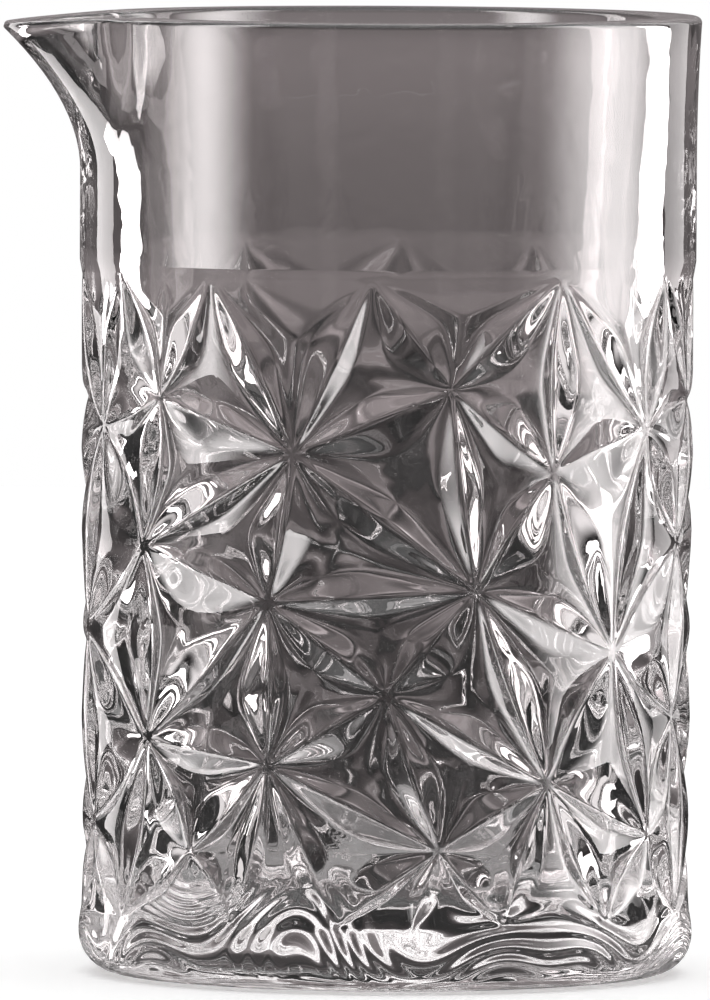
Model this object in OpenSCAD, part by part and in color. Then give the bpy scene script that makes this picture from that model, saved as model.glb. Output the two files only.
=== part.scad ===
// Mixing glass: one heavy pressed-glass beaker with a star-cut wall, a plain collar and a pouring lip.
// Millimetres. The glass stands on Z = 0 with its axis on Z. The front is -Y and the lip points to -X.

/* [Body] */
// Overall height
glass_h = 150; // [130:1:190]
// Outside diameter of the plain collar
collar_d = 96.6; // [88:0.2:112]
// How far the rim stands out past the collar
rim_flare = 0.7; // [0:0.1:3]
// How far the wall draws in from the collar down to the base
wall_taper = 0.7; // [0:0.1:3]

/* [Base] */
// Height of the base band
base_h = 10; // [8:0.5:10.5]
// How far the base band stands out past the foot of the wall
base_bulge = 0.5; // [0:0.1:2]
// Radius of the rounded bottom corner
foot_round = 6; // [3:0.5:8]

/* [Cavity] */
// Height of the cavity floor
floor_z = 12; // [11.5:0.5:30]
// Thickness of the wall at the cavity floor
floor_wall = 14.1; // [9:0.1:20]
// Thickness of the wall just below the mouth
neck_wall = 6.8; // [5:0.1:10]
// Thickness of the rim
rim_wall = 7; // [3:0.1:9]
// Radius of the rim's two rounded edges
rim_round = 1; // [0.5:0.1:1.4]
// Radius of the corner between floor and wall
floor_round = 5; // [2:0.5:16]

/* [Collar] */
// Height of the plain collar, from the pattern to the rim
collar_h = 39.5; // [32:0.5:60]
// Height over which the inside opens out below the rim
inside_flare_h = 6; // [3:0.5:18]
// Height over which the outside opens out below the rim
outside_flare_h = 22; // [10:1:24]

/* [Pouring lip] */
// How far the lip reaches past the rim
lip_pull = 11.4; // [4:0.2:16]
// Height of the lip below the rim
lip_h = 24; // [14:1:24]
// Half of the angle that the lip takes up on the rim
lip_half_angle = 30; // [20:1:40]
// Thickness of the glass at the lip's tip
lip_wall = 4; // [3:0.1:7]
// How far the tip lies below the rim
lip_drop = 1.2; // [0:0.1:3]
// How steeply the lip turns outwards
lip_curl = 1.8; // [1.2:0.1:3]

/* [Pattern] */
// How far the pattern draws in just below the collar
shoulder_depth = 1.2; // [0:0.1:2]
// Depth of each star's centre
star_depth = 0.5; // [0:0.1:2]
// Extra depth half-way along each leaf-shaped groove between two stars
groove_depth = 1.8; // [0:0.1:2.4]
// How far a groove spreads at its middle, as a share of the way to the middle of the facets beside it
groove_spread = 0.55; // [0.3:0.05:1]

/* [Hidden] */
$fn = 96;
glass_colour = [0.86, 0.87, 0.86, 0.55];

// The stars of one mould half, as angle from the front and share of the pattern's height.
inner_stars = [
    [-69, 0.76], [-48, 0.81], [-18, 0.73], [12, 0.83], [33, 0.70], [58, 0.76], [81, 0.80],
    [-82, 0.44], [-53, 0.58], [-23, 0.50], [17, 0.52], [48, 0.42], [73, 0.58],
    [-52, 0.28], [-23, 0.25], [0, 0.36], [32, 0.22], [71, 0.31],
    [-75, 0.14], [-40, 0.11], [10, 0.12], [60, 0.13]
];
// Angles of the groove ends on the top line and on the bottom line of the pattern.
top_ends = [-86, -60, -35, -3, 34, 64];
bottom_ends = [-84, -60, -30, -10, 5, 23, 46, 72];
// The second mould half repeats the first.
mould_halves = 2;
half_turn = 360 / mould_halves;
// Steps along each side of a facet.
facet_steps = 3;
// Stars further apart than this never share a facet.
star_reach = half_turn / 2;
// Points are rounded to one part in this many of a millimetre, and the offset keeps exact halves from a tie.
point_parts = 1000;
tie_offset = 0.13;
// Smallest length, area and spread that count in the pattern.
least_length = 0.001;
least_area = 0.01;
least_spread = 0.001;
// How far the cavity's cutter runs on past the top of the wall.
cut_over = 5;

pattern_top = glass_h - collar_h;
pattern_h = pattern_top - base_h;
rim_d = collar_d + 2 * rim_flare;
mouth_d = rim_d - 2 * rim_wall;
neck_d = collar_d - 2 * neck_wall;
wall_d = collar_d - 2 * wall_taper;
floor_d = wall_d - 2 * floor_wall;
base_d = wall_d + 2 * base_bulge;
rim_edge_z = glass_h - rim_round;
lip_start = glass_h - lip_h;
inside_flare_z = glass_h - inside_flare_h;
outside_flare_z = glass_h - outside_flare_h;
round_steps = 8;
rim_steps = 4;
flare_steps = 6;
lip_steps = 28;

function mix(a, b, t) = a + (b - a) * t;
function clamp01(t) = min(1, max(0, t));
// Rounded points, so that neighbouring facets share exactly the same corners.
function tidy(p) = [for (v = p) round(v * point_parts + tie_offset) / point_parts];
function around(angle, r, z) = tidy([r * sin(angle), -r * cos(angle), z]);

// Outside radius of the patterned wall before it is cut, at height z.
function wall_r(z) = mix(wall_d, collar_d, (z - base_h) / pattern_h) / 2;

// Inside radius: a straight taper that opens out below the rim.
function taper_r(z) = mix(floor_d, neck_d, (z - floor_z) / (inside_flare_z - floor_z)) / 2;
mouth_extra = mouth_d / 2 - taper_r(rim_edge_z);
function inside_share(z) = clamp01((z - inside_flare_z) / (rim_edge_z - inside_flare_z));
function inside_r(z) = taper_r(z) + mouth_extra * pow(inside_share(z), 2);

// Outside radius of the collar.
function outside_share(z) = clamp01((z - outside_flare_z) / (rim_edge_z - outside_flare_z));
function outside_r(z) = mix(collar_d, rim_d, pow(outside_share(z), 2)) / 2;

// The heights at which the collar's section has a corner, from the pattern up to the rim.
collar_levels = [
    pattern_top,
    for (i = [0 : flare_steps]) mix(lip_start, inside_flare_z, i / flare_steps),
    for (i = [1 : flare_steps]) mix(inside_flare_z, rim_edge_z, i / flare_steps)
];

// A point of the rim's rounded edge about radius r, at angle a from straight out.
function rim_point(r, a) = [r + rim_round * cos(a), rim_edge_z + rim_round * sin(a)];

// Section of the collar: up the outside, over the flat rim with its rounded edges and down the inside.
collar_section = [
    for (z = collar_levels) [outside_r(z), z],
    for (i = [1 : rim_steps]) rim_point(rim_d / 2 - rim_round, 90 * i / rim_steps),
    for (i = [0 : rim_steps - 1]) rim_point(mouth_d / 2 + rim_round, 90 + 90 * i / rim_steps),
    for (i = [len(collar_levels) - 1 : -1 : 0]) [inside_r(collar_levels[i]), collar_levels[i]]
];

// How far a point of the section is pulled out, at u = -1 to 1 across the lip.
function lip_rise(z) = pow(clamp01((z - lip_start) / (rim_edge_z - lip_start)), lip_curl);
function lip_share(z, u) = lip_rise(z) * pow(cos(90 * u), 2);
// The inside is pulled further than the outside, so that the glass thins towards the tip.
function pull_at(r) = lip_pull + (rim_wall - lip_wall) * clamp01((rim_d / 2 - r) / rim_wall);
function lip_point(p, u) = around(
    -90 + u * lip_half_angle,
    p[0] + pull_at(p[0]) * lip_share(p[1], u),
    p[1] - lip_drop * lip_share(p[1], u)
);

// Each point of the pattern is [angle, share of height, 1 for a star or 0 for a groove end].
panel = [
    for (s = inner_stars) [s[0], s[1], 1],
    for (a = top_ends) [a, 1, 0],
    for (a = bottom_ends) [a, 0, 0]
];
points_near = [
    for (turn = [-1 : 1]) for (p = panel)
        if (abs(p[0] + turn * half_turn) < half_turn / 2 + star_reach) [p[0] + turn * half_turn, p[1], p[2]]
];
function unrolled(p) = [p[0] * PI / 180 * collar_d / 2, p[1] * pattern_h];
flat_points = [for (p = points_near) unrolled(p)];

function cross2(a, b) = a[0] * b[1] - a[1] * b[0];
// Centre of the circle through three points of the unrolled pattern.
function circle_centre(a, b, c) = let (
    p = b - a,
    q = c - a,
    d = 2 * cross2(p, q)
) a + [q[1] * (p * p) - p[1] * (q * q), p[0] * (q * q) - q[0] * (p * p)] / d;

// Three points share a facet group when no other point lies inside their circle.
function is_empty_circle(a, b, c) = let (
    m = circle_centre(a, b, c),
    r = norm(a - m)
) len([for (p = flat_points) if (norm(p - m) < r - least_length) 1]) == 0;

function are_near(a, b, c) = max(a[0], b[0], c[0]) - min(a[0], b[0], c[0]) < star_reach;
function is_in_half(angle) = angle >= -half_turn / 2 && angle < half_turn / 2;
// Three neighbouring points in turning order, or nothing.
function star_triangle(i, j, k) = let (
    a = flat_points[i],
    b = flat_points[j],
    c = flat_points[k],
    area = cross2(b - a, c - a)
) abs(area) > least_area && is_empty_circle(a, b, c)
    ? [points_near[i], points_near[area > 0 ? j : k], points_near[area > 0 ? k : j]]
    : [];

last_point = len(points_near) - 1;
star_triangles = [
    for (i = [0 : last_point - 2]) for (j = [i + 1 : last_point - 1]) for (k = [j + 1 : last_point])
        if (are_near(points_near[i], points_near[j], points_near[k]))
            if (is_in_half((points_near[i][0] + points_near[j][0] + points_near[k][0]) / 3))
                let (tri = star_triangle(i, j, k))
                if (len(tri) > 0) tri
];

// A leaf shape along a groove: nothing at both ends and 1 half-way.
function leaf(t) = 4 * t * (1 - t);

// Depth beside the groove from p to q: t along it, and w from 0 at the middle of the facets to 1 on the groove.
function groove_cut(p, q, t, w) = let (
    is_cut = p[2] + q[2] > 0,
    spread = groove_spread * leaf(t)
) is_cut && spread > least_spread ? groove_depth * leaf(t) * max(0, 1 - (1 - w) / spread) : 0;

// The middle of three points stays at the full radius.
// Below the lowest stars it lies in the plane of its corners, and below the collar it draws in.
function middle_depth(tri) = let (
    low_ends = len([for (p = tri) if (p[1] == 0) 1]),
    high_ends = len([for (p = tri) if (p[1] == 1) 1])
) low_ends == 2 ? star_depth / 3 : high_ends == 2 ? shoulder_depth : 0;

// A point of the facet between the groove p-q and the middle m, by steps a and b towards p and q.
function facet_point(p, q, m, m_depth, a, b) = let (
    w = (a + b) / facet_steps,
    t = a + b > 0 ? b / (a + b) : 0,
    angle = mix(m[0], mix(p[0], q[0], t), w),
    z = base_h + pattern_h * mix(m[1], mix(p[1], q[1], t), w),
    depth = mix(m_depth, star_depth * mix(p[2], q[2], t), w) + groove_cut(p, q, t, w)
) around(angle, wall_r(z) - depth, z);

function facet_triangles(p, q, m, m_depth) = [
    for (a = [0 : facet_steps - 1]) for (b = [0 : facet_steps - 1 - a]) each [
        [
            facet_point(p, q, m, m_depth, a, b),
            facet_point(p, q, m, m_depth, a, b + 1),
            facet_point(p, q, m, m_depth, a + 1, b)
        ],
        if (a + b < facet_steps - 1) [
            facet_point(p, q, m, m_depth, a + 1, b),
            facet_point(p, q, m, m_depth, a, b + 1),
            facet_point(p, q, m, m_depth, a + 1, b + 1)
        ]
    ]
];

function half_turned(tri) = [for (p = tri) [p[0] + half_turn, p[1], p[2]]];
all_triangles = [for (tri = star_triangles) each [tri, half_turned(tri)]];

skin_triangles = [
    for (tri = all_triangles) let (m = (tri[0] + tri[1] + tri[2]) / 3, m_depth = middle_depth(tri))
        for (e = [0 : 2]) each facet_triangles(tri[e], tri[(e + 1) % 3], m, m_depth)
];

// Flat ends of the wall, as fans from the axis along the groove ends.
function end_fan(angles, share, up) = let (
    z = base_h + pattern_h * share,
    stops = [for (h = [0 : mould_halves - 1]) for (a = angles) a + h * half_turn, angles[0] + 360]
) [
    for (i = [0 : len(stops) - 2]) for (s = [0 : facet_steps - 1]) let (
        p = around(mix(stops[i], stops[i + 1], s / facet_steps), wall_r(z), z),
        q = around(mix(stops[i], stops[i + 1], (s + 1) / facet_steps), wall_r(z), z),
        c = [0, 0, z]
    ) up ? [c, q, p] : [c, p, q]
];

// A solid from a list of triangles that share their corners.
module solid_of(triangles) {
    polyhedron(
        points = [for (t = triangles) each t],
        faces = [for (i = [0 : len(triangles) - 1]) [3 * i, 3 * i + 1, 3 * i + 2]]
    );
}

// The cavity below the collar, with a rounded corner at the floor.
module cavity() {
    corner_r = taper_r(floor_z + floor_round);
    cut_top = pattern_top + cut_over;
    rotate_extrude()
        polygon([
            [0, floor_z],
            for (i = [0 : round_steps]) let (a = 90 * i / round_steps)
                [corner_r - floor_round * (1 - sin(a)), floor_z + floor_round * (1 - cos(a))],
            [taper_r(cut_top), cut_top],
            [0, cut_top]
        ]);
}

module base() {
    color(glass_colour)
        rotate_extrude()
            polygon([
                [0, 0],
                for (i = [0 : round_steps]) let (a = 90 * i / round_steps)
                    [base_d / 2 - foot_round * (1 - sin(a)), foot_round * (1 - cos(a))],
                [wall_d / 2, base_h],
                [0, base_h]
            ]);
}

module star_wall() {
    color(glass_colour)
        difference() {
            solid_of([
                each skin_triangles,
                each end_fan(top_ends, 1, true),
                each end_fan(bottom_ends, 0, false)
            ]);
            cavity();
        }
}

module collar() {
    color(glass_colour)
        rotate(-180 + lip_half_angle)
            rotate_extrude(angle = 360 - 2 * lip_half_angle)
                polygon(collar_section);
}

module pouring_lip() {
    n = len(collar_section);
    slices = [
        for (i = [0 : lip_steps]) let (u = 2 * i / lip_steps - 1)
            [for (p = collar_section) lip_point(p, u)]
    ];
    // An end face as a ladder between the outside and the inside of the section.
    function end_face(first, flip) = [
        for (j = [0 : n / 2 - 2]) for (t = [[j, j + 1, n - 1 - j], [j + 1, n - 2 - j, n - 1 - j]])
            [first + t[0], first + t[flip ? 2 : 1], first + t[flip ? 1 : 2]]
    ];
    color(glass_colour)
        polyhedron(
            points = [for (s = slices) each s],
            faces = [
                each end_face(0, false),
                for (i = [0 : lip_steps - 1]) for (j = [0 : n - 1]) let (k = (j + 1) % n) each [
                    [i * n + j, (i + 1) * n + j, i * n + k],
                    [(i + 1) * n + j, (i + 1) * n + k, i * n + k]
                ],
                each end_face(lip_steps * n, true)
            ]
        );
}

base();
star_wall();
collar();
pouring_lip();
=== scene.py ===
"""A heavy mixing glass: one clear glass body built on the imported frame, in a small light tent.

Metres. The glass stands on Z = 0, its axis is Z, the front is -Y and the pouring lip points to -X.
Angles round the axis start at the front and grow towards +X.
"""

import math

import bpy
import numpy as np
from mathutils import Matrix, Vector, noise
from mathutils.geometry import delaunay_2d_cdt


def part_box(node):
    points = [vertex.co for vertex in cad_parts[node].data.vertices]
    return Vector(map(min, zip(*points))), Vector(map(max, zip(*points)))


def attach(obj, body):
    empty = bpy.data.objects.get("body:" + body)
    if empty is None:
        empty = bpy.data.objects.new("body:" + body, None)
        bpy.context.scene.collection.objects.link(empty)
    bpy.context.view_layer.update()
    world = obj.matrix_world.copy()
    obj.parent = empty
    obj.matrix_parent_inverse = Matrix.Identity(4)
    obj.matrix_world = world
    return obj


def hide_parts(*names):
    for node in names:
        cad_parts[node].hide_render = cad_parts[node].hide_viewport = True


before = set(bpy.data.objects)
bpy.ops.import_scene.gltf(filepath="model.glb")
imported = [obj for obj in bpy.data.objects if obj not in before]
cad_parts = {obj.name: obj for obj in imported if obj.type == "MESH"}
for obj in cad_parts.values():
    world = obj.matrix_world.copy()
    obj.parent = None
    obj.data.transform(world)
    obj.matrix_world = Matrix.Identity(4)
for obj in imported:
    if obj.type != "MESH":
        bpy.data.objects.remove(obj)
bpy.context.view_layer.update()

MM = 0.001
GLASS_NODES = ("base", "star_wall", "collar", "pouring_lip")

# The view of the photograph, with the axis of the glass a little right of the middle.
CAMERA_PLACE = Vector((-0.005, -3.061, 0.242))
CAMERA_AIM = Vector((-0.005, 0, 0.0739))
CAMERA_ROLL = math.radians(0.28)
CAMERA_REACH = 20
LENS_MM = 704
SENSOR_MM = 36
# Bounces of light through the glass, and off it.
THROUGH_BOUNCES = 32
MIRROR_BOUNCES = 16

# The stars of one mould half, as degrees from the front and share of the pattern's height.
STARS = (
    (-69, 0.76), (-48, 0.81), (-18, 0.73), (12, 0.83), (33, 0.70), (58, 0.76), (81, 0.80),
    (-82, 0.44), (-53, 0.58), (-23, 0.50), (17, 0.52), (48, 0.42), (73, 0.58),
    (-52, 0.28), (-23, 0.25), (0, 0.36), (32, 0.22), (71, 0.31),
    (-75, 0.14), (-40, 0.11), (10, 0.12), (60, 0.13),
)
# Degrees of the groove ends on the top line and on the bottom line of the pattern.
TOP_ENDS = (-86, -60, -35, -3, 34, 64)
BOTTOM_ENDS = (-84, -60, -30, -10, 5, 23, 46, 72)
# Depth of a star's centre, and extra depth half-way along a groove.
STAR_DEPTH = 0.5 * MM
GROOVE_DEPTH = 1.8 * MM
# Share of the way to the facet's middle that a groove takes up, half-way along it and at its ends.
GROOVE_SPREAD = 0.55
LEAST_SPREAD = 0.001
# The pattern draws in by this much just below the collar.
SHOULDER_DEPTH = 1.2 * MM
# The collar's lower edge is bevelled: its depth, its height, and the height of the turn at its top.
BEVEL_DEPTH = 0.2 * MM
BEVEL_HEIGHT = 1.2 * MM
BEVEL_TURN = 0.3 * MM
# The wall draws in by this much from the collar down to the base.
WALL_TAPER = 0.7 * MM

# Section of the plain parts: walls, flares below the rim, cavity floor and rounded corners.
RIM_FLARE = 0.7 * MM
RIM_WALL = 7 * MM
RIM_ROUND = 1 * MM
NECK_WALL = 6.8 * MM
FLOOR_WALL = 14.1 * MM
INSIDE_FLARE = 6 * MM
OUTSIDE_FLARE = 22 * MM
CAVITY_FLOOR = 12 * MM
FLOOR_ROUND = 5 * MM
FOOT_ROUND = 6 * MM

# The pouring lip: where it points, half its angle, its height, its wall and drop at the tip, and its curl.
LIP_TURN = math.radians(270)
LIP_HALF_ANGLE = math.radians(30)
LIP_HEIGHT = 24 * MM
LIP_WALL = 4 * MM
LIP_DROP = 1.2 * MM
LIP_CURL = 1.8

# Fineness of the glass mesh: steps from a facet's middle to its groove, and rings of the plain parts.
FACET_PARTS = 20
COLLAR_ROWS = 20
EDGE_ROWS = 6
MOUTH_ROWS = 8
INSIDE_ROWS = 32
CORNER_ROWS = 8
FLOOR_ROWS = 6
BAND_ROWS = 6
FOOT_ROWS = 8
SOLE_ROWS = 8

# Fire polishing softens the cut: how often neighbouring points are evened out.
POLISH_ROUNDS = 3
# Slow waves that pressing and fire polishing leave in the glass: how long and how high they are.
INSIDE_WAVE = (16 * MM, 0.06 * MM)
COLLAR_WAVE = (16 * MM, 0.03 * MM)
BASE_WAVE = (20 * MM, 0.4 * MM)
SOLE_WAVE = (9 * MM, 0.4 * MM)
# The waves of the base run up into the pattern and die out at this height.
BASE_WAVE_TOP = 20 * MM

# The glass itself, very slightly warm, and the faint swirls all over its surface.
GLASS_COLOUR = (0.995, 0.975, 0.976, 1)
GLASS_IOR = 1.52
SWIRL_SCALE = 100
SWIRL_DETAIL = 1
SWIRL_TWIST = 1
SWIRL_HEIGHT = 0.06 * MM

# Flow lines in the base: their number, how they wander, and their depth.
FLOW_SCALE = 50
FLOW_TWIST = 40
FLOW_DETAIL = 0
FLOW_WANDER = 0.9
FLOW_DEPTH = 0.24 * MM
# Heights between which the flow lines set in above the foot, and between which they die out again.
FLOW_FOOT = (1.5 * MM, 4 * MM)
FLOW_TOP = (12 * MM, 19 * MM)
# Scuffs round the foot: their fineness, the heights between which they die out, and their roughness there.
SCUFF_SCALE = 700
SCUFF_DETAIL = 6
SCUFF_HEIGHTS = (0, 3 * MM)
SCUFF_ROUGHNESS = (0.08, 0)

# The floor lies this far below the foot, and the camera sees it this much brighter.
FLOOR_GAP = 0.3 * MM
FLOOR_LIFT = 0.27
FLOOR_RADIUS = 1.4
FLOOR_STEPS = 64
# Painted light and shade on the floor as only the glass shows it, as glowing rings just over the floor
# round the axis: name, inner radius, outer radius and glow.
PAINTED_FLOOR_GLOWS = (
    # Painted shadow of the glass on the floor: a dim glow under the foot.
    ("painted_shadow_under_glass", 1 * MM, 49 * MM, 0.08),
    # Painted light on the floor round the foot: a brighter glow.
    ("painted_light_near_glass", 49 * MM, 80 * MM, 0.25),
    # Painted shade on the floor farther out: a glow near black.
    ("painted_shade_far_out", 80 * MM, 1390 * MM, 0.02),
)
PAINTED_GLOW_HEIGHT = -0.15 * MM
PAINTED_GLOW_STEPS = 48

# Colours of the studio.
PALE_GREY = (0.93, 0.93, 0.93, 1)
WHITE = (1, 1, 1, 1)
WARM_WHITE = (1, 0.96, 0.96, 1)
WARM_GREY = (1, 0.9, 0.91, 1)
# The cards: how they brighten towards the top, their height, their distance from the axis, their steps.
CARD_CURVE = 1.5
CARD_HEIGHT = 0.5
CARD_RADIUS = 0.3
CARD_STEPS = 24
# A card's middle, as a share of its width from either side.
CARD_MIDDLE = 0.5
# The left softbox hangs at this height.
SOFTBOX_FOOT = 75 * MM
# The dome over the studio: the slopes between which it brightens, and its two strengths.
DOME_SLOPES = (0.5, 0.85)
DOME_GLOW = (0.1, 1.6)

# Points closer than this are one point.
WELD = 1e-6


# Small helpers

def mix(a, b, share):
    """The value at that share of the way from a to b."""
    return a + (b - a) * share


def rise(value, low, high):
    """0 at or below low, growing evenly to 1 at or above high."""
    return min(1, max(0, (value - low) / (high - low)))


def direction(angle):
    """Unit vector away from the axis at that angle from the front."""
    return Vector((math.sin(angle), -math.cos(angle), 0))


def upward(z):
    """Vector straight up to that height."""
    return Vector((0, 0, z))


def round_pairs(ring):
    """Each member of a ring with the next one, back to the first."""
    return zip(ring, ring[1:] + ring[:1])


def wave(angles, radius, z, kind):
    """A slow wave over the surface, for every angle of a ring, at one height or at one for each angle."""
    length, height = kind
    heights = np.broadcast_to(z, angles.shape)
    places = [(direction(a) * radius + upward(h)) / length for a, h in zip(angles, heights)]
    return height * np.array([noise.noise(place) for place in places])


# The star-cut wall

def star_groups(radius, height):
    """Threes of neighbouring pattern points round the wall: angle, share of height, 1 for a star."""
    half = [(a, s, 1) for a, s in STARS]
    half += [(a, 1, 0) for a in TOP_ENDS]
    half += [(a, 0, 0) for a in BOTTOM_ENDS]
    points = [(math.radians(a) + math.pi * turn, s, star) for turn in (-1, 0, 1) for a, s, star in half]
    flat = [Vector((a * radius, s * height)) for a, s, _ in points]
    _, _, threes, sources, _, _ = delaunay_2d_cdt(flat, [], [], 0, WELD)
    groups = []
    for three in threes:
        group = np.array([points[sources[i][0]] for i in three])
        if -math.pi / 2 <= group[:, 0].mean() < math.pi / 2:
            groups.append(group)
            groups.append(group + (math.pi, 0, 0))
    return groups


def facet_middle(group):
    """Middle of a facet: angle, share of height, and depth as a share of a star's depth."""
    middle = group.mean(axis=0)
    is_under_collar = np.sum(group[:, 1] == 1) == 2
    is_over_base = np.sum(group[:, 1] == 0) == 2
    # It draws in under the collar, lies flat over the base, and stands at the full radius elsewhere.
    if is_under_collar:
        middle[2] = SHOULDER_DEPTH / STAR_DEPTH
    elif not is_over_base:
        middle[2] = 0
    return middle


def facet_grid(parts):
    """Steps from a facet's middle towards both ends of its groove, and the triangles between them."""
    steps = [(a, b) for a in range(parts + 1) for b in range(parts + 1 - a)]
    index = {step: i for i, step in enumerate(steps)}
    faces = []
    for a, b in steps:
        if a + b < parts:
            faces.append((index[a, b], index[a + 1, b], index[a, b + 1]))
        if a + b < parts - 1:
            faces.append((index[a + 1, b], index[a + 1, b + 1], index[a, b + 1]))
    return np.array(steps), np.array(faces)


def cut_skin(low_r, high_r, low_z, high_z):
    """The star-cut wall: angle, radius and height of every point, and its triangles."""
    steps, grid = facet_grid(FACET_PARTS)
    total = steps.sum(axis=1)
    near = total / FACET_PARTS
    along = steps[:, 1] / np.maximum(total, 1)
    # A groove is a leaf: 1 half-way along it and 0 at its ends.
    leaf = 4 * along * (1 - along)
    spread = np.maximum(GROOVE_SPREAD * leaf, LEAST_SPREAD)
    cut = GROOVE_DEPTH * leaf * np.maximum(0, 1 - (1 - near) / spread)
    places = []
    faces = []
    for group in star_groups(high_r, high_z - low_z):
        middle = facet_middle(group)
        for i in range(3):
            p, q = group[i], group[(i + 1) % 3]
            groove = p + (q - p) * along[:, None]
            facet = middle + (groove - middle) * near[:, None]
            depth = STAR_DEPTH * facet[:, 2] + (cut if p[2] + q[2] else 0)
            faces.append(grid + len(places) * len(steps))
            places.append(np.stack([
                facet[:, 0],
                mix(low_r, high_r, facet[:, 1]) - depth,
                mix(low_z, high_z, facet[:, 1]),
            ], axis=1))
    places = np.concatenate(places)
    faces = np.concatenate(faces)
    keys = np.stack([np.sin(places[:, 0]), np.cos(places[:, 0]), places[:, 2]], axis=1)
    _, first, index = np.unique(np.round(keys / WELD), axis=0, return_index=True, return_inverse=True)
    places = places[first]
    places[:, 0] = np.remainder(places[:, 0], 2 * math.pi)
    return places, index.reshape(-1)[faces]


def polished(values, faces, fixed, rounds):
    """Values evened out between neighbours, apart from the fixed ones."""
    edges = np.concatenate([faces[:, [0, 1]], faces[:, [1, 2]], faces[:, [2, 0]]])
    edges = np.unique(np.sort(edges, axis=1), axis=0)
    a, b = edges[:, 0], edges[:, 1]
    count = np.bincount(a, minlength=len(values)) + np.bincount(b, minlength=len(values))
    for _ in range(rounds):
        total = np.bincount(a, values[b], len(values)) + np.bincount(b, values[a], len(values))
        values = np.where(fixed, values, (values + total / count) / 2)
    return values


def loop_at(places, z):
    """Skin points at height z, in order round the axis."""
    found = np.flatnonzero(np.abs(places[:, 2] - z) < WELD)
    return found[np.argsort(places[found, 0])]


# The whole glass

class Body:
    """Points and faces of the glass as it is built up, ring by ring."""

    def __init__(self):
        self.points = []
        self.faces = []

    def ring(self, angles, radii, heights):
        """New points at these places round the axis."""
        first = len(self.points)
        heights = np.broadcast_to(heights, angles.shape)
        for angle, r, z in zip(angles, radii, heights):
            self.points.append(direction(angle) * r + upward(z))
        return list(range(first, len(self.points)))

    def bridge(self, lower, upper):
        """Faces between two rings of as many points."""
        for (a, b), (c, d) in zip(round_pairs(lower), round_pairs(upper)):
            self.faces.append((a, b, d, c))

    def close(self, ring, z, is_up):
        """Faces from a ring to a point on the axis, looking up or down."""
        centre = len(self.points)
        self.points.append(upward(z))
        for a, b in round_pairs(ring):
            self.faces.append((a, b, centre) if is_up else (b, a, centre))


class Section:
    """Radii of the plain parts by height, from the frame's boxes."""

    def __init__(self):
        self.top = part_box("collar")[1].z
        self.rim_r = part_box("collar")[1].x
        self.collar_r = self.rim_r - RIM_FLARE
        self.pattern_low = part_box("star_wall")[0].z
        self.pattern_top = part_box("star_wall")[1].z
        self.base_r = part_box("base")[1].x
        self.bevel_z = self.pattern_top + BEVEL_HEIGHT
        self.lip_pull = -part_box("pouring_lip")[0].x - self.rim_r
        self.rim_z = self.top - RIM_ROUND
        self.mouth_r = self.rim_r - RIM_WALL
        self.mouth_extra = self.mouth_r - self.taper(self.rim_z)

    def taper(self, z):
        """The straight part of the cavity wall."""
        floor_r = self.collar_r - WALL_TAPER - FLOOR_WALL
        neck_z = self.top - INSIDE_FLARE
        return mix(floor_r, self.collar_r - NECK_WALL, (z - CAVITY_FLOOR) / (neck_z - CAVITY_FLOOR))

    def inside(self, z):
        """The cavity wall, opening out below the rim."""
        return self.taper(z) + self.mouth_extra * rise(z, self.top - INSIDE_FLARE, self.rim_z) ** 2

    def outside(self, z):
        """The collar's outer face."""
        return mix(self.collar_r, self.rim_r, rise(z, self.top - OUTSIDE_FLARE, self.rim_z) ** 2)

    def pull(self, r):
        """Reach of the lip at that radius: the inside goes further, so the glass thins towards the tip."""
        return self.lip_pull + (RIM_WALL - LIP_WALL) * rise(self.rim_r - r, 0, RIM_WALL)

    def lip_share(self, angles, z):
        """How far the lip pulls a ring of points out, as a share."""
        turn = np.remainder(angles - LIP_TURN + math.pi, 2 * math.pi) - math.pi
        across = np.clip(turn / LIP_HALF_ANGLE, -1, 1)
        return rise(z, self.top - LIP_HEIGHT, self.rim_z) ** LIP_CURL * np.cos(math.pi / 2 * across) ** 2

    def upper_rows(self):
        """Radius, height and wave of each ring, from the pattern's top over the rim to the floor."""
        yield self.outside(self.bevel_z), self.bevel_z, COLLAR_WAVE
        for i in range(COLLAR_ROWS + 1):
            z = mix(self.bevel_z + BEVEL_TURN, self.rim_z, i / COLLAR_ROWS)
            yield self.outside(z), z, COLLAR_WAVE
        # The rim's outer corner and then its inner one, each a quarter turn.
        for middle_r, first in ((self.rim_r - RIM_ROUND, 1), (self.mouth_r + RIM_ROUND, EDGE_ROWS)):
            for i in range(first, first + EDGE_ROWS):
                a = math.pi / 2 * i / EDGE_ROWS
                r = middle_r + RIM_ROUND * math.cos(a)
                yield r, self.rim_z + RIM_ROUND * math.sin(a), COLLAR_WAVE
        for i in range(MOUTH_ROWS):
            z = mix(self.rim_z, self.top - INSIDE_FLARE, i / MOUTH_ROWS)
            yield self.inside(z), z, COLLAR_WAVE
        corner_z = CAVITY_FLOOR + FLOOR_ROUND
        for i in range(INSIDE_ROWS):
            z = mix(self.top - INSIDE_FLARE, corner_z, i / INSIDE_ROWS)
            yield self.inside(z), z, INSIDE_WAVE
        for i in range(CORNER_ROWS + 1):
            a = math.pi / 2 * (1 - i / CORNER_ROWS)
            r = self.inside(corner_z) - FLOOR_ROUND * (1 - math.sin(a))
            yield r, CAVITY_FLOOR + FLOOR_ROUND * (1 - math.cos(a)), INSIDE_WAVE


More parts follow.
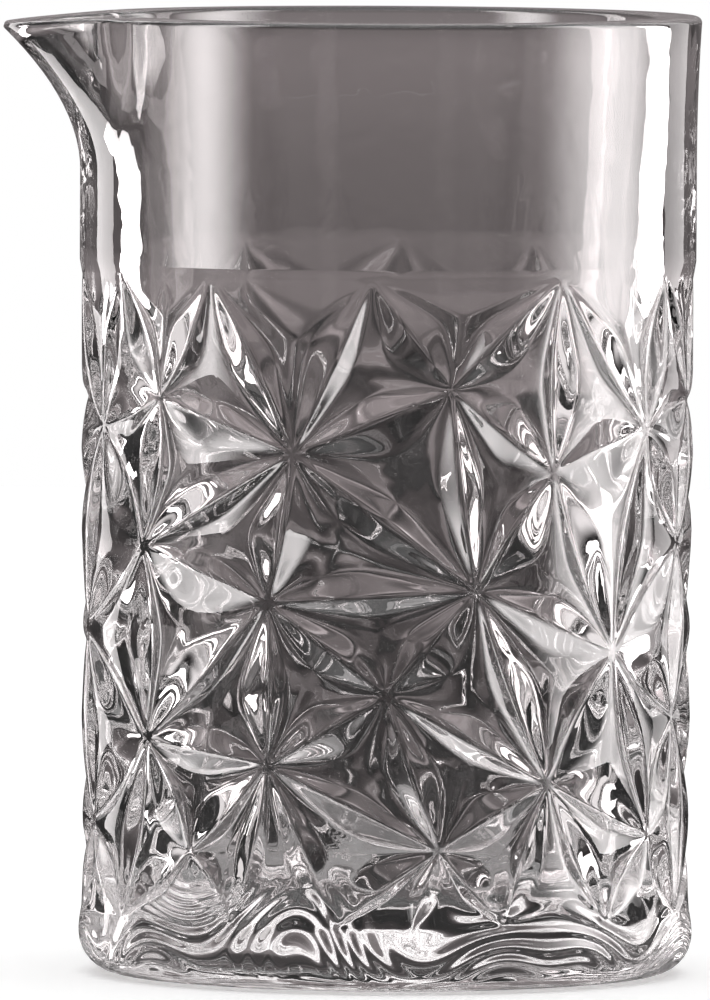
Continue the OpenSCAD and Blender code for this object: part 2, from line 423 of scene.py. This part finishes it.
def build_upper(body, section, places, loop):
    """Collar, rim, lip and cavity, on top of the skin's upper edge."""
    angles = places[loop, 0]
    last = list(loop)
    for r, z, kind in section.upper_rows():
        share = section.lip_share(angles, z)
        radii = r + section.pull(r) * share + wave(angles, r, z, kind)
        ring = body.ring(angles, radii, z - LIP_DROP * share)
        body.bridge(last, ring)
        last = ring
    # The cavity's floor, from the last of those rings to the axis.
    for i in range(1, FLOOR_ROWS):
        ring = body.ring(angles, radii * (1 - i / FLOOR_ROWS), z)
        body.bridge(last, ring)
        last = ring
    body.close(last, z, True)


def build_foot(body, section, places, loop):
    """Base band, rounded corner and sole, below the skin's lower edge."""
    angles = places[loop, 0]
    last = list(loop)
    for i in range(1, BAND_ROWS + 1):
        share = i / BAND_ROWS
        z = mix(section.pattern_low, FOOT_ROUND, share)
        swell = math.sin(math.pi / 2 * share)
        r = mix(section.collar_r - WALL_TAPER, section.base_r, swell)
        ring = body.ring(angles, r + wave(angles, r, z, BASE_WAVE), z)
        body.bridge(ring, last)
        last = ring
    for i in range(1, FOOT_ROWS + 1):
        a = math.pi / 2 * (1 - i / FOOT_ROWS)
        r = section.base_r - FOOT_ROUND * (1 - math.sin(a))
        z = FOOT_ROUND * (1 - math.cos(a))
        ring = body.ring(angles, r + wave(angles, r, z, BASE_WAVE) * math.sin(a), z)
        body.bridge(ring, last)
        last = ring
    # The sole, from the last of those rings to the axis. Its waves rise off the ground.
    for i in range(1, SOLE_ROWS):
        inner_r = r * (1 - i / SOLE_ROWS)
        heights = np.abs(wave(angles, inner_r, 0, SOLE_WAVE))
        ring = body.ring(angles, np.full(angles.shape, inner_r), heights)
        body.bridge(ring, last)
        last = ring
    body.close(last, 0, False)


def build_glass():
    """The whole glass as one closed mesh."""
    section = Section()
    low_r = section.collar_r - WALL_TAPER
    high_r = section.collar_r - BEVEL_DEPTH
    places, faces = cut_skin(low_r, high_r, section.pattern_low, section.pattern_top)
    low_loop = loop_at(places, section.pattern_low)
    high_loop = loop_at(places, section.pattern_top)
    fixed = np.zeros(len(places), bool)
    fixed[low_loop] = True
    fixed[high_loop] = True
    places[:, 1] = polished(places[:, 1], faces, fixed, POLISH_ROUNDS)
    fade = np.clip((BASE_WAVE_TOP - places[:, 2]) / (BASE_WAVE_TOP - section.pattern_low), 0, 1)
    places[:, 1] += fade * wave(places[:, 0], low_r, places[:, 2], BASE_WAVE)
    body = Body()
    body.ring(places[:, 0], places[:, 1], places[:, 2])
    body.faces.extend(map(tuple, faces.tolist()))
    build_upper(body, section, places, high_loop)
    build_foot(body, section, places, low_loop)
    mesh = bpy.data.meshes.new("mixing_glass")
    mesh.from_pydata(body.points, [], body.faces)
    mesh.validate()
    mesh.shade_smooth()
    mesh.materials.append(glass_material())
    return add_object("mixing_glass", mesh)


# Materials

def new_material(name):
    """A node material without any nodes, and its node tree."""
    material = bpy.data.materials.new(name)
    material.use_nodes = True
    material.node_tree.nodes.clear()
    return material, material.node_tree


def add_node(tree, kind, inputs):
    """A new node. Each input gets a value, or follows another node's output."""
    node = tree.nodes.new(kind)
    for name, value in inputs.items():
        if isinstance(value, bpy.types.NodeSocket):
            tree.links.new(value, node.inputs[name])
        else:
            node.inputs[name].default_value = value
    return node


def add_math(tree, operation, first, second):
    """The result of an operation on two values."""
    node = add_node(tree, "ShaderNodeMath", {0: first, 1: second})
    node.operation = operation
    return node.outputs["Value"]


def map_range(tree, value, source, target, kind="LINEAR"):
    """The value carried from the source range to the target range, and held at both ends."""
    node = add_node(tree, "ShaderNodeMapRange", {
        "Value": value,
        "From Min": source[0],
        "From Max": source[1],
        "To Min": target[0],
        "To Max": target[1],
    })
    node.interpolation_type = kind
    return node.outputs["Result"]


def camera_rays(tree):
    """1 for what the camera sees straight away, and 0 for what shows in the glass or lights something."""
    return add_node(tree, "ShaderNodeLightPath", {}).outputs["Is Camera Ray"]


def swirl_normal(tree, place):
    """Faint swirls all over the surface."""
    swirls = add_node(tree, "ShaderNodeTexNoise", {
        "Vector": place,
        "Scale": SWIRL_SCALE,
        "Detail": SWIRL_DETAIL,
        "Distortion": SWIRL_TWIST,
    })
    bump = add_node(tree, "ShaderNodeBump", {"Height": swirls.outputs["Fac"], "Distance": SWIRL_HEIGHT})
    return bump.outputs["Normal"]


def flow_normal(tree, place, height, normal):
    """Flow lines in the base, on a surface with that normal."""
    flow = add_node(tree, "ShaderNodeTexWave", {
        "Vector": place,
        "Scale": FLOW_SCALE,
        "Distortion": FLOW_TWIST,
        "Detail": FLOW_DETAIL,
        "Detail Scale": FLOW_WANDER,
    })
    flow.bands_direction = "Z"
    over_foot = map_range(tree, height, FLOW_FOOT, (0, 1))
    in_base = map_range(tree, height, FLOW_TOP, (1, 0), "SMOOTHSTEP")
    bump = add_node(tree, "ShaderNodeBump", {
        "Height": flow.outputs["Fac"],
        "Strength": add_math(tree, "MULTIPLY", in_base, over_foot),
        "Distance": FLOW_DEPTH,
        "Normal": normal,
    })
    return bump.outputs["Normal"]


def scuff_roughness(tree, place, height):
    """Fine scuffs round the foot."""
    scuffs = add_node(tree, "ShaderNodeTexNoise", {
        "Vector": place,
        "Scale": SCUFF_SCALE,
        "Detail": SCUFF_DETAIL,
    })
    near_foot = map_range(tree, height, SCUFF_HEIGHTS, SCUFF_ROUGHNESS)
    return add_math(tree, "MULTIPLY", near_foot, scuffs.outputs["Fac"])


def glass_material():
    """Clear pressed glass: slightly wavy, with flow lines in the base and fine scuffs round the foot."""
    material, tree = new_material("clear_pressed_glass")
    place = add_node(tree, "ShaderNodeTexCoord", {}).outputs["Object"]
    height = add_node(tree, "ShaderNodeSeparateXYZ", {"Vector": place}).outputs["Z"]
    shader = add_node(tree, "ShaderNodeBsdfPrincipled", {
        "Base Color": GLASS_COLOUR,
        "IOR": GLASS_IOR,
        "Transmission Weight": 1,
        "Roughness": scuff_roughness(tree, place, height),
        "Normal": flow_normal(tree, place, height, swirl_normal(tree, place)),
    })
    add_node(tree, "ShaderNodeOutputMaterial", {"Surface": shader.outputs["BSDF"]})
    return material


def floor_material():
    """Plain pale matt floor, lifted for the camera so that it is white outside the shadow."""
    material, tree = new_material("pale_floor")
    matt = add_node(tree, "ShaderNodeBsdfDiffuse", {"Color": PALE_GREY})
    lift = add_node(tree, "ShaderNodeEmission", {
        "Strength": add_math(tree, "MULTIPLY", camera_rays(tree), FLOOR_LIFT),
    })
    both = add_node(tree, "ShaderNodeAddShader", {0: matt.outputs["BSDF"], 1: lift.outputs["Emission"]})
    add_node(tree, "ShaderNodeOutputMaterial", {"Surface": both.outputs["Shader"]})
    return material


def painted_glow_material(name, glow):
    """An even grey glow, for painted light and shade on the floor."""
    material, tree = new_material(name)
    shade = add_node(tree, "ShaderNodeEmission", {"Strength": glow})
    add_node(tree, "ShaderNodeOutputMaterial", {"Surface": shade.outputs["Emission"]})
    return material


def card_material(name, colour, glow, edge):
    """A glow with one strength at the card's foot and one at its top, fading out towards both sides."""
    material, tree = new_material(name)
    place = add_node(tree, "ShaderNodeUVMap", {}).outputs["UV"]
    split = add_node(tree, "ShaderNodeSeparateXYZ", {"Vector": place})
    from_side = add_math(tree, "PINGPONG", split.outputs["X"], CARD_MIDDLE)
    fade = map_range(tree, from_side, (0, max(edge, WELD)), (0, 1), "SMOOTHSTEP")
    climb = map_range(tree, add_math(tree, "POWER", split.outputs["Y"], CARD_CURVE), (0, 1), glow)
    light = add_node(tree, "ShaderNodeEmission", {
        "Color": colour,
        "Strength": add_math(tree, "MULTIPLY", fade, climb),
    })
    add_node(tree, "ShaderNodeOutputMaterial", {"Surface": light.outputs["Emission"]})
    return material


# The studio

def add_object(name, data):
    """A new object in the scene."""
    item = bpy.data.objects.new(name, data)
    bpy.context.scene.collection.objects.link(item)
    return item


def add_for_glass(name, mesh):
    """An object of the studio that shows in the glass alone."""
    item = add_object(name, mesh)
    item.visible_camera = False
    item.visible_diffuse = False
    item.visible_shadow = False
    return item


def add_floor():
    """A round pale floor."""
    down = upward(-FLOOR_GAP)
    rim = [direction(2 * math.pi * i / FLOOR_STEPS) * FLOOR_RADIUS + down for i in range(FLOOR_STEPS)]
    mesh = bpy.data.meshes.new("floor")
    mesh.from_pydata(rim, [], [tuple(range(FLOOR_STEPS))])
    mesh.materials.append(floor_material())
    floor = add_object("floor", mesh)


def add_painted_floor_glow(name, low_r, high_r, glow):
    """A glowing grey ring just over the floor, round the axis: painted light and shade that only the glass
    shows.
    """
    points = []
    for i in range(PAINTED_GLOW_STEPS):
        out = direction(2 * math.pi * i / PAINTED_GLOW_STEPS)
        points.append(out * low_r + upward(PAINTED_GLOW_HEIGHT))
        points.append(out * high_r + upward(PAINTED_GLOW_HEIGHT))
    faces = [(2 * i, 2 * i + 1, 2 * j + 1, 2 * j) for i, j in round_pairs(list(range(PAINTED_GLOW_STEPS)))]
    mesh = bpy.data.meshes.new(name)
    mesh.from_pydata(points, [], faces)
    mesh.materials.append(painted_glow_material(name, glow))
    add_for_glass(name, mesh)


def add_card(name, start, end, glow, edge=0, colour=WARM_WHITE, foot=0):
    """A curved upright card from start to end, in degrees from straight behind the glass.

    The degrees grow to the right. Its glow is the strength at its foot and at its top, and edge is the
    share of its width that fades out at each side.
    """
    points = []
    for i in range(CARD_STEPS + 1):
        out = direction(math.pi - math.radians(mix(start, end, i / CARD_STEPS))) * CARD_RADIUS
        points.append(out + upward(foot))
        points.append(out + upward(foot + CARD_HEIGHT))
    faces = [(2 * i, 2 * i + 2, 2 * i + 3, 2 * i + 1) for i in range(CARD_STEPS)]
    mesh = bpy.data.meshes.new(name)
    mesh.from_pydata(points, [], faces)
    layer = mesh.uv_layers.new(name="UVMap")
    for loop in mesh.loops:
        layer.data[loop.index].uv = (loop.vertex_index // 2 / CARD_STEPS, loop.vertex_index % 2)
    mesh.materials.append(card_material(name, colour, glow, edge))
    return add_for_glass(name, mesh)


def add_cards():
    """The cards round the glass: behind it a glow that paints a lit grey backdrop with painted shade
    towards its foot, with strips, softboxes and glows at the sides.
    """
    # Behind the glass a glow stands in for a lit grey card: painted light, with painted shade towards its
    # foot.
    add_card("painted_back_light", start=-48, end=42, glow=(0.03, 1.3), colour=WARM_GREY)
    add_card("left_strip", start=-63, end=-47, glow=(4, 4))
    left_glow = add_card("left_glow", start=-118, end=-66, glow=(0.8, 0.8), edge=0.25)
    add_card("right_strip", start=43, end=62, glow=(2.1, 2.1))
    left_softbox = add_card("left_softbox", start=-133, end=-92, glow=(12, 12), edge=0.5, foot=SOFTBOX_FOOT)
    right_softbox = add_card("right_softbox", start=62, end=129, glow=(11, 11), edge=0.5)
    right_glow = add_card("right_glow", start=62, end=120, glow=(0.9, 0.9), edge=0.3)
    front_glow = add_card("front_glow", start=128, end=232, glow=(0.22, 0.22))
    # The softboxes show as mirror images alone, and the glows only through the glass.
    for softbox in (left_softbox, right_softbox):
        softbox.visible_transmission = False
    for dim_card in (left_glow, right_glow, front_glow):
        dim_card.visible_glossy = False


def set_world():
    """White for the camera, and a soft dome for everything else."""
    world = bpy.data.worlds.new("studio")
    bpy.context.scene.world = world
    world.use_nodes = True
    tree = world.node_tree
    tree.nodes.clear()
    place = add_node(tree, "ShaderNodeTexCoord", {}).outputs["Generated"]
    slope = add_node(tree, "ShaderNodeSeparateXYZ", {"Vector": place}).outputs["Z"]
    dome = add_node(tree, "ShaderNodeBackground", {
        "Color": WHITE,
        "Strength": map_range(tree, slope, DOME_SLOPES, DOME_GLOW, "SMOOTHSTEP"),
    })
    white = add_node(tree, "ShaderNodeBackground", {"Color": WHITE})
    choose = add_node(tree, "ShaderNodeMixShader", {
        "Fac": camera_rays(tree),
        1: dome.outputs["Background"],
        2: white.outputs["Background"],
    })
    add_node(tree, "ShaderNodeOutputWorld", {"Surface": choose.outputs["Shader"]})


def add_camera():
    """The photograph's viewpoint."""
    data = bpy.data.cameras.new("camera")
    data.lens = LENS_MM
    data.sensor_width = SENSOR_MM
    data.clip_end = CAMERA_REACH
    camera = add_object("camera", data)
    turn = (CAMERA_AIM - CAMERA_PLACE).to_track_quat("-Z", "Y").to_matrix().to_4x4()
    camera.matrix_world = Matrix.Translation(CAMERA_PLACE) @ turn @ Matrix.Rotation(CAMERA_ROLL, 4, "Z")
    bpy.context.scene.camera = camera


def set_render():
    """Plain colours, and enough bounces for light to get through thick glass."""
    scene = bpy.context.scene
    scene.view_settings.view_transform = "Standard"
    scene.cycles.max_bounces = THROUGH_BOUNCES
    scene.cycles.transmission_bounces = THROUGH_BOUNCES
    scene.cycles.glossy_bounces = MIRROR_BOUNCES


glass = build_glass()
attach(glass, "root")
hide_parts(*GLASS_NODES)

add_floor()
# Painted light and shade on the floor, as glows that only the glass shows.
for floor_glow in PAINTED_FLOOR_GLOWS:
    add_painted_floor_glow(*floor_glow)
add_cards()
set_world()
add_camera()
set_render()
